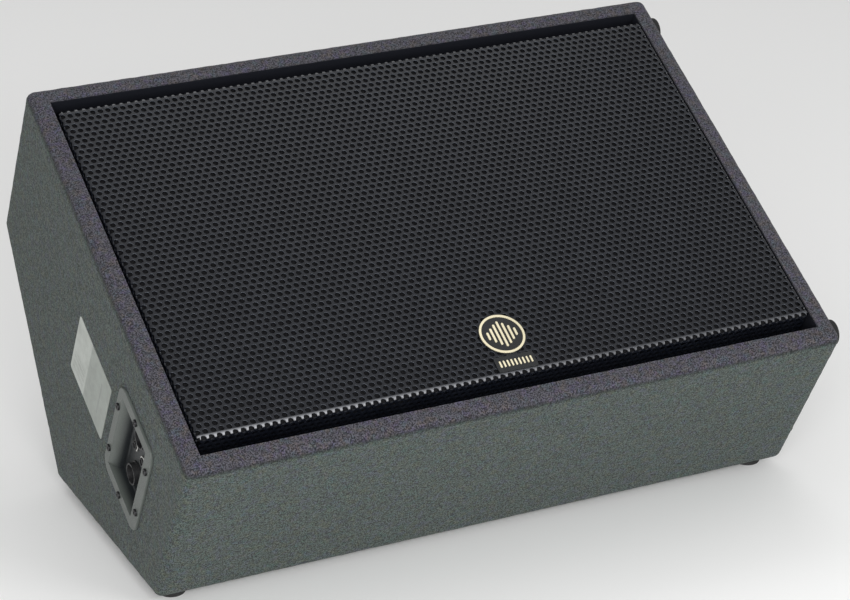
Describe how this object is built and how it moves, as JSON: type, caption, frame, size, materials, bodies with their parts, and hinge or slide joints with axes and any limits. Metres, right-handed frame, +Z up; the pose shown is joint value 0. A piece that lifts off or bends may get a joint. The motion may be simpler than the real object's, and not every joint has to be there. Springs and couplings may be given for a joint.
{
  "type": "stage monitor wedge",
  "caption": "Carpet-covered floor monitor wedge with a perforated steel grille, connection dish, rubber feet and a two-way driver set inside.",
  "frame": {"origin": "centre of the bounding box at the height of the base feet, on the floor", "axes": "+X along the wedge towards its right end, seen from the front; +Y to the back; +Z up"},
  "size_m": [0.731, 0.5266, 0.4309],
  "materials": {
    "plywood": "satin",
    "black_baffle": "matte",
    "carpet": "matte",
    "felt": "matte",
    "foot_rubber": "matte",
    "zinc_screws": "satin",
    "black_screws": "satin",
    "dish_plastic": "satin",
    "gasket_foam": "matte",
    "black_plastic": "satin",
    "chrome_nut": "polished",
    "label_card": "satin",
    "black_casting": "satin",
    "surround_cloth": "matte",
    "cone_paper": "matte",
    "spider_cloth": "matte",
    "coil_winding": "satin",
    "plated_steel": "satin",
    "ferrite": "matte",
    "diaphragm_metal": "satin",
    "board_resin": "satin",
    "capacitor_sleeve": "gloss",
    "resistor_ceramic": "matte",
    "wire_jacket": "satin",
    "grille_paint": "satin",
    "grille_foam": "matte",
    "badge_black": "gloss",
    "badge_cream": "satin"
  },
  "bodies": {
    "root": {"base_feet": "foot_rubber", "side_feet": "foot_rubber", "rear_feet": "foot_rubber", "foot_screws": "zinc_screws", "jack_dish": "dish_plastic", "dish_gasket": "gasket_foam", "dish_screws": "black_screws", "socket_barrels": "black_plastic", "socket_cores": "black_plastic", "phone_jacks": "black_plastic", "jack_nuts": "chrome_nut", "spec_label": "label_card", "woofer_basket": "black_casting", "woofer_gasket": "gasket_foam", "woofer_surround": "surround_cloth", "woofer_spider": "spider_cloth", "woofer_front_plate": "plated_steel", "woofer_magnet": "ferrite", "woofer_pole": "plated_steel", "woofer_terminals": "black_plastic", "woofer_screws": "black_screws", "horn": "black_plastic", "horn_screws": "black_screws", "driver_front_plate": "plated_steel", "driver_magnet": "ferrite", "driver_pole": "plated_steel", "driver_gap_plate": "plated_steel", "driver_phase_plug": "black_plastic", "driver_cover": "black_plastic", "driver_bolts": "zinc_screws", "port_tubes": "black_plastic", "grille": "grille_paint", "grille_foam": "grille_foam", "grille_screws": "black_screws", "badge_plate": "badge_black", "badge_emblem": "badge_cream", "crossover_board": "board_resin", "crossover_spacers": "black_plastic", "crossover_screws": "zinc_screws", "crossover_coils": "coil_winding", "crossover_capacitors": "capacitor_sleeve", "crossover_resistors": "resistor_ceramic", "internal_wires": "wire_jacket", "side_panel_left": "plywood", "side_panel_right": "plywood", "top_panel": "plywood", "rear_panel": "plywood", "base_panel": "plywood", "front_panel": "plywood", "baffle": "black_baffle", "baffle_cleats": "plywood", "carpet_left": "carpet", "carpet_right": "carpet", "carpet_wrap": "carpet", "carpet_face_edge": "carpet", "wadding": "felt"},
    "cone_assembly": {"woofer_cone": "cone_paper", "woofer_dust_cap": "cone_paper", "woofer_coil": "coil_winding"},
    "hf_diaphragm": {"driver_diaphragm": "diaphragm_metal"}
  },
  "joints": [
    {"name": "cone_travel", "type": "slide", "parent": "root", "child": "cone_assembly", "axis": [0, -0.5, 0.866], "range_m": [-0.005, 0.005], "stiffness_N_per_m": 6000, "deforming": ["woofer_surround", "woofer_spider"]},
    {"name": "diaphragm_travel", "type": "slide", "parent": "root", "child": "hf_diaphragm", "axis": [0, -0.5, 0.866], "range_m": [-0.0004, 0.0004], "stiffness_N_per_m": 8000}
  ]
}
